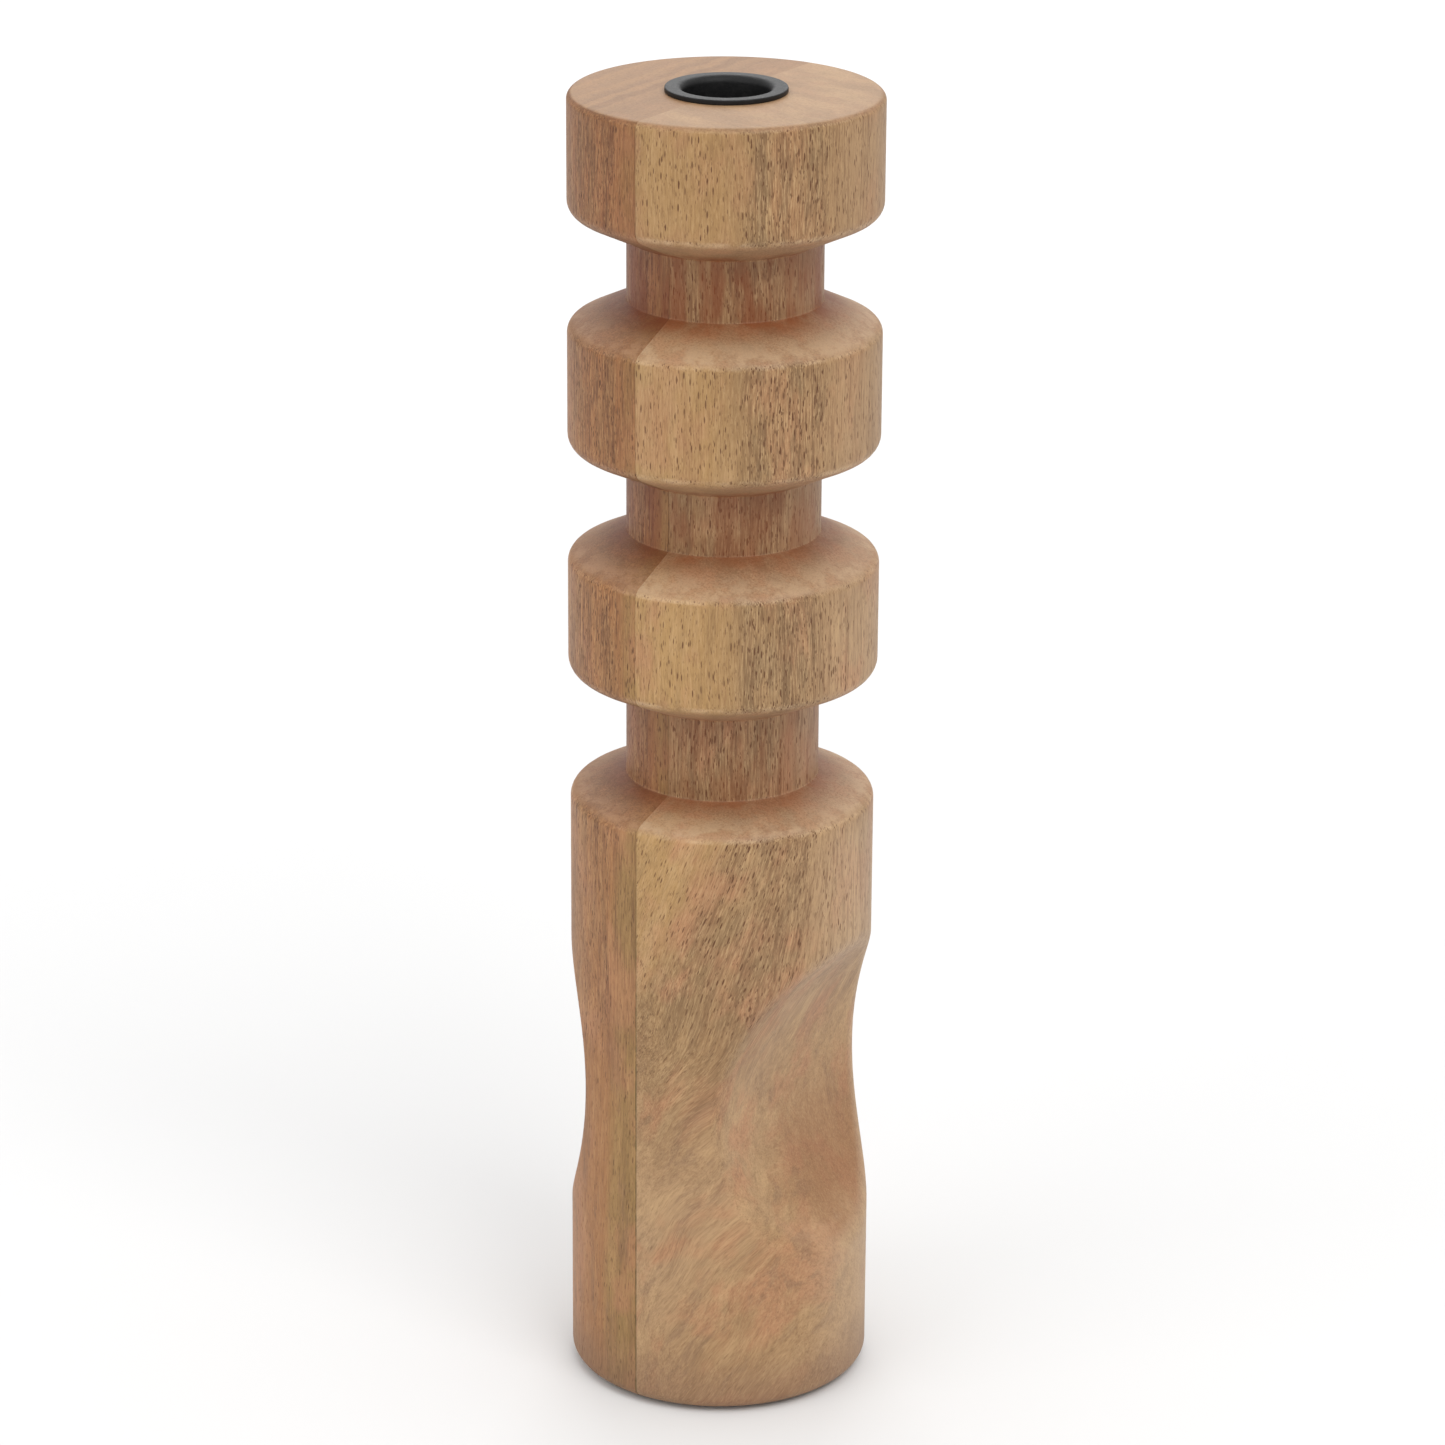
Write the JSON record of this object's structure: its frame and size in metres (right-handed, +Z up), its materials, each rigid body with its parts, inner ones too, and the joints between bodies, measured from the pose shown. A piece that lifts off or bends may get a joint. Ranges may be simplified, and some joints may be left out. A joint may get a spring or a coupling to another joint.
{
  "type": "wooden candlestick",
  "caption": "Tall turned wooden candlestick with a scooped base, two discs and a head on slender necks, and a black metal candle cup.",
  "frame": {"origin": "centre of the footprint, on the surface that the felt pads rest on", "axes": "+Z up the turning axis, +X towards the middle of one scooped side, Y in the glue plane"},
  "size_m": [0.08, 0.08, 0.3493],
  "materials": {
    "wood_left": "sanded and lightly oiled, pinkish brown board",
    "wood_right": "sanded and lightly oiled, yellowish tan board",
    "black_metal": "satin black powder coat on pressed steel",
    "screw_steel": "zinc plated",
    "felt": "pressed felt"
  },
  "bodies": {
    "root": {"left_half": "wood_left", "right_half": "wood_right", "candle_cup": "black_metal", "cup_screw": "screw_steel", "felt_pad_1": "felt", "felt_pad_2": "felt", "felt_pad_3": "felt", "felt_pad_4": "felt"}
  },
  "joints": []
}
